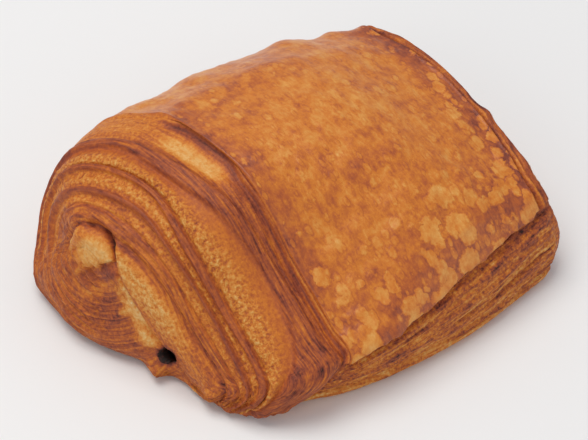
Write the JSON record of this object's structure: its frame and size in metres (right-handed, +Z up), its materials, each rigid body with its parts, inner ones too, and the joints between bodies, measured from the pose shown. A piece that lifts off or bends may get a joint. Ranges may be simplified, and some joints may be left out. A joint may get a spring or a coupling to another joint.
{
  "type": "pain au chocolat",
  "caption": "Baked roll of laminated dough with layered spiral ends, a smooth blistered top sheet and chocolate batons inside, lying on its flat base.",
  "frame": {"origin": "middle of the footprint, on the surface that the pastry stands on", "axes": "+X along the roll and the batons, towards the plain right end; -Y towards the cut front face; +Z up from the flat base"},
  "size_m": [0.1225, 0.1014, 0.0491],
  "materials": {
    "crust": "egg-washed baked laminated dough, golden to reddish brown, soft sheen",
    "chocolate": "dark baking chocolate, dull where it has been baked"
  },
  "bodies": {
    "root": {"pastry": "crust", "chocolate_baton_front": "chocolate", "chocolate_baton_back": "chocolate"}
  },
  "joints": []
}
